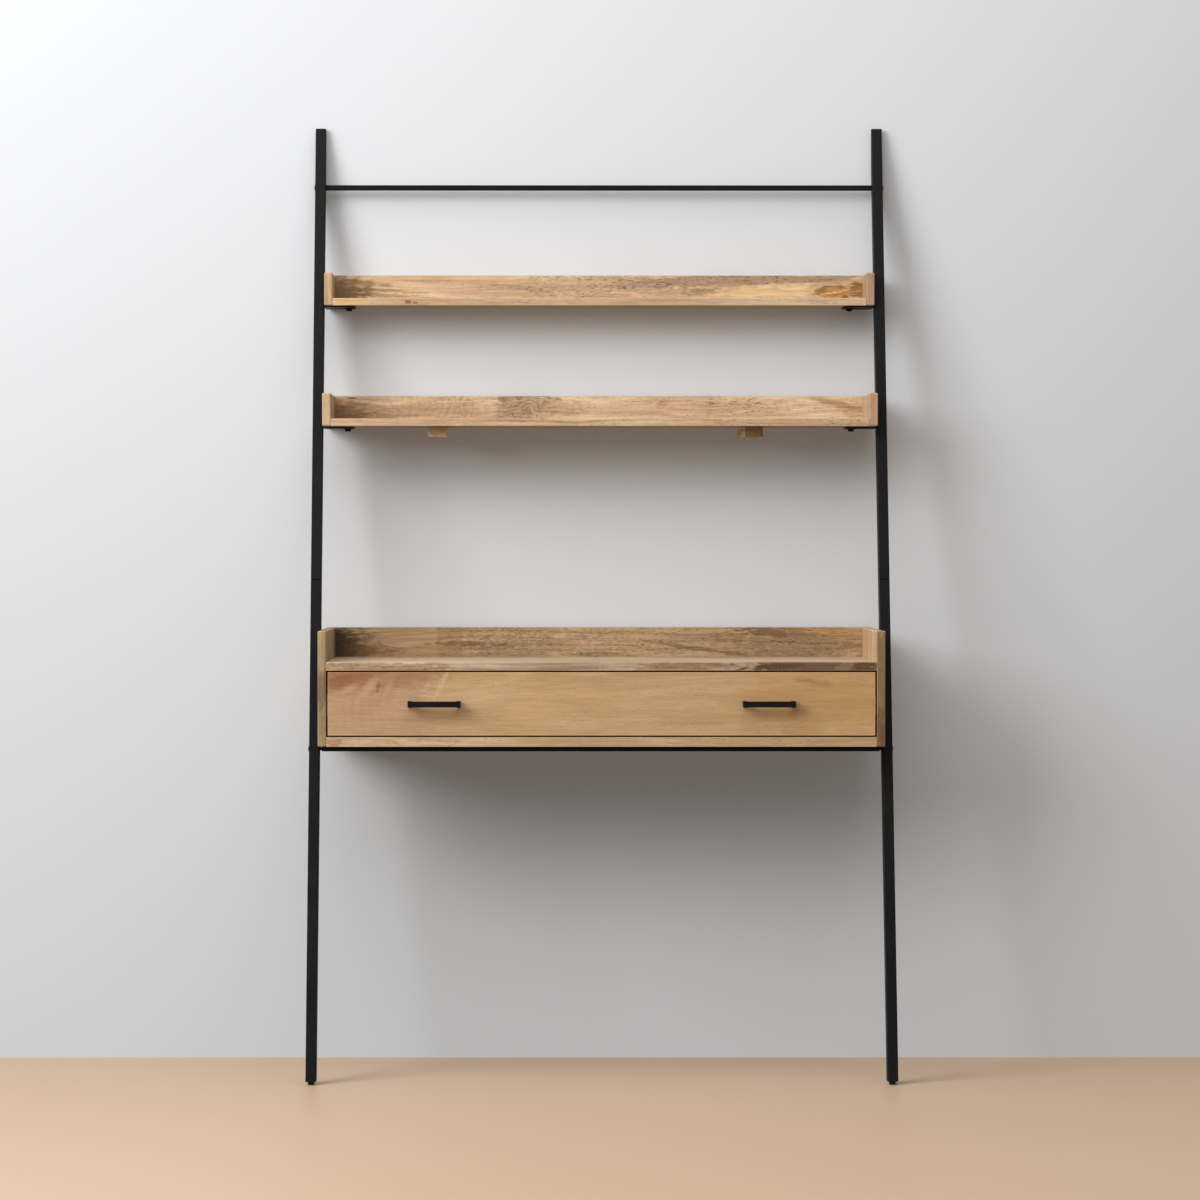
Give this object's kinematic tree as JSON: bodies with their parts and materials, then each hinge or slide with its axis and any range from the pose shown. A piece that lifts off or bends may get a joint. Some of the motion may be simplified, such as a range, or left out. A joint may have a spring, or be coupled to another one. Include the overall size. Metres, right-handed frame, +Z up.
{
  "type": "ladder desk",
  "caption": "Leaning wall desk: steel tube posts carry tray shelves and a desk box with a wide drawer on runners, bar pulls, turning blocks and levelling feet.",
  "frame": {"origin": "on the floor, midway between the posts and midway between the wall plane and the front edge of the feet", "axes": "+Z up, +Y toward the wall it leans on, +X to the right when facing it"},
  "size_m": [1.104, 0.41, 1.81],
  "materials": {
    "oiled_wood": "oiled and sanded solid wood",
    "drawer_front_wood": "oiled and sanded solid wood",
    "drawer_box_wood": "plain sanded wood",
    "drawer_plywood": "plain plywood",
    "dowel_beech": "turned",
    "black_steel": "fine satin powder coat",
    "black_plastic": "moulded matt",
    "zinc_steel": "zinc plated"
  },
  "bodies": {
    "frame": {"block_screws": "zinc_steel", "board_dowels": "dowel_beech", "bracket_bolts": "black_steel", "crossbar": "black_steel", "desk_bottom": "oiled_wood", "desk_gallery": "oiled_wood", "desk_rail": "black_steel", "desk_rear_panel": "drawer_box_wood", "desk_runner_screws": "zinc_steel", "desk_top": "oiled_wood", "frame_bolts": "black_steel", "left_desk_bracket": "black_steel", "left_desk_runner": "zinc_steel", "left_desk_side": "oiled_wood", "left_foot_plug": "black_plastic", "left_lower_post": "black_steel", "left_middle_bracket": "black_steel", "left_post_cap": "black_plastic", "left_post_sleeve": "black_steel", "left_upper_bracket": "black_steel", "left_upper_post": "black_steel", "middle_shelf_back": "oiled_wood", "middle_shelf_board": "oiled_wood", "middle_shelf_left_end": "oiled_wood", "middle_shelf_right_end": "oiled_wood", "right_desk_bracket": "black_steel", "right_desk_runner": "zinc_steel", "right_desk_side": "oiled_wood", "right_foot_plug": "black_plastic", "right_lower_post": "black_steel", "right_middle_bracket": "black_steel", "right_post_cap": "black_plastic", "right_post_sleeve": "black_steel", "right_upper_bracket": "black_steel", "right_upper_post": "black_steel", "upper_shelf_back": "oiled_wood", "upper_shelf_board": "oiled_wood", "upper_shelf_left_end": "oiled_wood", "upper_shelf_right_end": "oiled_wood"},
    "drawer": {"drawer_back": "drawer_box_wood", "drawer_bottom": "drawer_plywood", "drawer_dowels": "dowel_beech", "drawer_front": "drawer_front_wood", "drawer_left_side": "drawer_box_wood", "drawer_right_side": "drawer_box_wood", "drawer_runner_screws": "zinc_steel", "handle_screws": "zinc_steel", "left_drawer_runner": "zinc_steel", "left_handle": "black_steel", "right_drawer_runner": "zinc_steel", "right_handle": "black_steel"},
    "left_foot": {"left_glide": "black_plastic"},
    "right_foot": {"right_glide": "black_plastic"},
    "left_block": {"left_turning_block": "oiled_wood"},
    "right_block": {"right_turning_block": "oiled_wood"}
  },
  "joints": [
    {"name": "drawer_slide", "type": "slide", "parent": "frame", "child": "drawer", "axis": [0, -1, 0], "range_m": [0, 0.25]},
    {"name": "left_foot_level", "type": "slide", "parent": "frame", "child": "left_foot", "axis": [0, 0, -1], "range_m": [0, 0.01]},
    {"name": "right_foot_level", "type": "slide", "parent": "frame", "child": "right_foot", "axis": [0, 0, -1], "range_m": [0, 0.01]},
    {"name": "left_block_turn", "type": "hinge", "parent": "frame", "child": "left_block", "pos_m": [-0.31, 0.089, 1.218], "axis": [0, 0, 1], "range_deg": [-90, 90]},
    {"name": "right_block_turn", "type": "hinge", "parent": "frame", "child": "right_block", "pos_m": [0.289, 0.089, 1.218], "axis": [0, 0, 1], "range_deg": [-99, 81]}
  ]
}
